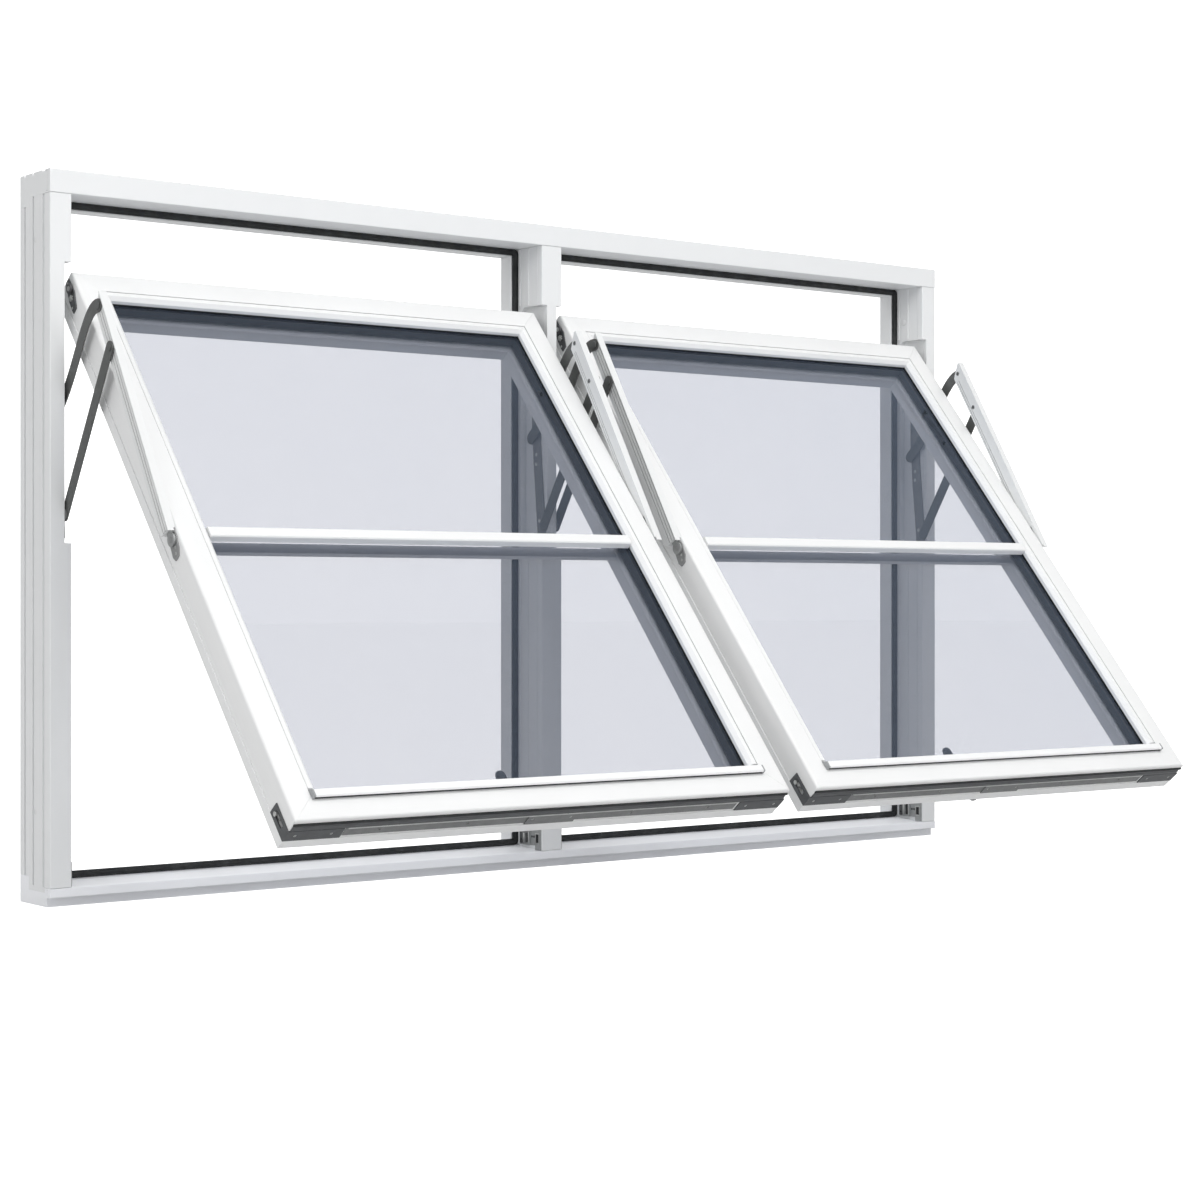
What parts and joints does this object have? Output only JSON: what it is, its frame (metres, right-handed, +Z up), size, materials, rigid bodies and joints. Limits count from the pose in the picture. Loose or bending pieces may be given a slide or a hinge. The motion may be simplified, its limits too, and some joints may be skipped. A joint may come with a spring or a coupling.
{
  "type": "two-light projecting window",
  "caption": "White timber window with twin glazed lights, each open sash carried on pivoting arms and channels in a clad frame.",
  "frame": {"origin": "centre of the sill's underside, at mid depth of the frame", "axes": "+X along the frame's width, to the right seen from outside; +Y into the room; +Z up"},
  "size_m": [2, 0.7994, 1.1856],
  "materials": {
    "frame_timber": "satin white paint on timber",
    "frame_cladding": "white powder-coated aluminium",
    "black_rubber": "matt",
    "hinge_steel": "dull galvanised",
    "bright_steel": "zinc plated",
    "zinc_cast": "die-cast, satin",
    "sash_paint": "satin white paint on timber",
    "mill_aluminium": "satin anodised",
    "grey_plastic": "matt",
    "clear_glass": "float glass",
    "black_spacer": "matt",
    "dark_steel": "dark chromated",
    "handle_coat": "dark satin coat",
    "channel_coat": "white powder-coated aluminium"
  },
  "bodies": {
    "frame": {"head": "frame_timber", "sill": "frame_timber", "left_jamb": "frame_timber", "right_jamb": "frame_timber", "mullion": "frame_timber", "head_cladding": "frame_cladding", "sill_cladding": "frame_cladding", "left_cladding": "frame_cladding", "right_cladding": "frame_cladding", "mullion_cladding": "frame_cladding", "frame_gaskets": "black_rubber", "hinge_plates": "hinge_steel", "plate_screws": "bright_steel", "keeps": "zinc_cast"},
    "left_upper_arms": {"left_upper_arms": "hinge_steel"},
    "left_lower_arms": {"left_lower_arms": "hinge_steel"},
    "left_channels": {"left_channels": "channel_coat", "left_channel_ends": "zinc_cast"},
    "left_sash": {"left_stiles": "sash_paint", "left_top_rail": "sash_paint", "left_bottom_rail": "sash_paint", "left_beads": "sash_paint", "left_weather_bead": "mill_aluminium", "left_bead_caps": "grey_plastic", "left_outer_pane": "clear_glass", "left_inner_pane": "clear_glass", "left_spacer": "black_spacer", "left_glazing_gasket": "black_rubber", "left_glazing_bar": "sash_paint", "left_lock_rail": "dark_steel", "left_corner_drives": "dark_steel", "left_guide_brackets": "dark_steel", "left_pivot_plates": "hinge_steel", "left_handle_rose": "handle_coat"},
    "left_handle": {"left_handle": "handle_coat"},
    "left_lock_pins": {"left_lock_pins": "bright_steel"},
    "right_upper_arms": {"right_upper_arms": "hinge_steel"},
    "right_lower_arms": {"right_lower_arms": "hinge_steel"},
    "right_channels": {"right_channels": "channel_coat", "right_channel_ends": "zinc_cast"},
    "right_sash": {"right_stiles": "sash_paint", "right_top_rail": "sash_paint", "right_bottom_rail": "sash_paint", "right_beads": "sash_paint", "right_weather_bead": "mill_aluminium", "right_bead_caps": "grey_plastic", "right_outer_pane": "clear_glass", "right_inner_pane": "clear_glass", "right_spacer": "black_spacer", "right_glazing_gasket": "black_rubber", "right_glazing_bar": "sash_paint", "right_lock_rail": "dark_steel", "right_corner_drives": "dark_steel", "right_guide_brackets": "dark_steel", "right_pivot_plates": "hinge_steel", "right_handle_rose": "handle_coat"},
    "right_handle": {"right_handle": "handle_coat"},
    "right_lock_pins": {"right_lock_pins": "bright_steel"}
  },
  "joints": [
    {"name": "left_swing", "type": "hinge", "parent": "frame", "child": "left_upper_arms", "pos_m": [-0.49252, -0.0133, 0.7937], "axis": [1, 0, 0], "range_deg": [-36.26, 9]},
    {"name": "left_lower_arm_swing", "type": "hinge", "parent": "frame", "child": "left_lower_arms", "pos_m": [-0.49252, -0.05012, 0.63083], "axis": [1, 0, 0], "range_deg": [-34, 8.5]},
    {"name": "left_channel_fold", "type": "hinge", "parent": "left_upper_arms", "child": "left_channels", "pos_m": [-0.49252, -0.16369, 0.95707], "axis": [-1, 0, 0], "range_deg": [-68.4, 17]},
    {"name": "left_sash_tilt", "type": "hinge", "parent": "left_channels", "child": "left_sash", "pos_m": [-0.49252, -0.3895, 0.58391], "axis": [-1, 0, 0], "range_deg": [-7.95, 2]},
    {"name": "left_handle_turn", "type": "hinge", "parent": "left_sash", "child": "left_handle", "pos_m": [-0.49252, -0.67477, 0.17019], "axis": [0, 0.7657, -0.6432], "range_deg": [0, 90]},
    {"name": "left_lock_slide", "type": "slide", "parent": "left_sash", "child": "left_lock_pins", "axis": [0, -0.6432, -0.7657], "range_m": [0, 0.0201]},
    {"name": "right_swing", "type": "hinge", "parent": "frame", "child": "right_upper_arms", "pos_m": [0.49252, -0.0133, 0.7937], "axis": [1, 0, 0], "range_deg": [-36.26, 9]},
    {"name": "right_lower_arm_swing", "type": "hinge", "parent": "frame", "child": "right_lower_arms", "pos_m": [0.49252, -0.05012, 0.63083], "axis": [1, 0, 0], "range_deg": [-34, 8.5]},
    {"name": "right_channel_fold", "type": "hinge", "parent": "right_upper_arms", "child": "right_channels", "pos_m": [0.49252, -0.16369, 0.95707], "axis": [-1, 0, 0], "range_deg": [-68.4, 17]},
    {"name": "right_sash_tilt", "type": "hinge", "parent": "right_channels", "child": "right_sash", "pos_m": [0.49252, -0.3895, 0.58391], "axis": [-1, 0, 0], "range_deg": [-7.95, 2]},
    {"name": "right_handle_turn", "type": "hinge", "parent": "right_sash", "child": "right_handle", "pos_m": [0.49252, -0.67477, 0.17019], "axis": [0, 0.7657, -0.6432], "range_deg": [0, 90]},
    {"name": "right_lock_slide", "type": "slide", "parent": "right_sash", "child": "right_lock_pins", "axis": [0, -0.6432, -0.7657], "range_m": [0, 0.0201]}
  ],
  "couplings": [
    {"joint": "left_lower_arm_swing", "follows": "left_swing", "ratio": 0.9374},
    {"joint": "left_channel_fold", "follows": "left_swing", "ratio": 1.8856},
    {"joint": "left_sash_tilt", "follows": "left_swing", "ratio": 0.21842},
    {"joint": "left_lock_slide", "follows": "left_handle_turn", "m_per_rad": 0.012732},
    {"joint": "right_lower_arm_swing", "follows": "right_swing", "ratio": 0.9374},
    {"joint": "right_channel_fold", "follows": "right_swing", "ratio": 1.8856},
    {"joint": "right_sash_tilt", "follows": "right_swing", "ratio": 0.21842},
    {"joint": "right_lock_slide", "follows": "right_handle_turn", "m_per_rad": 0.012732}
  ]
}
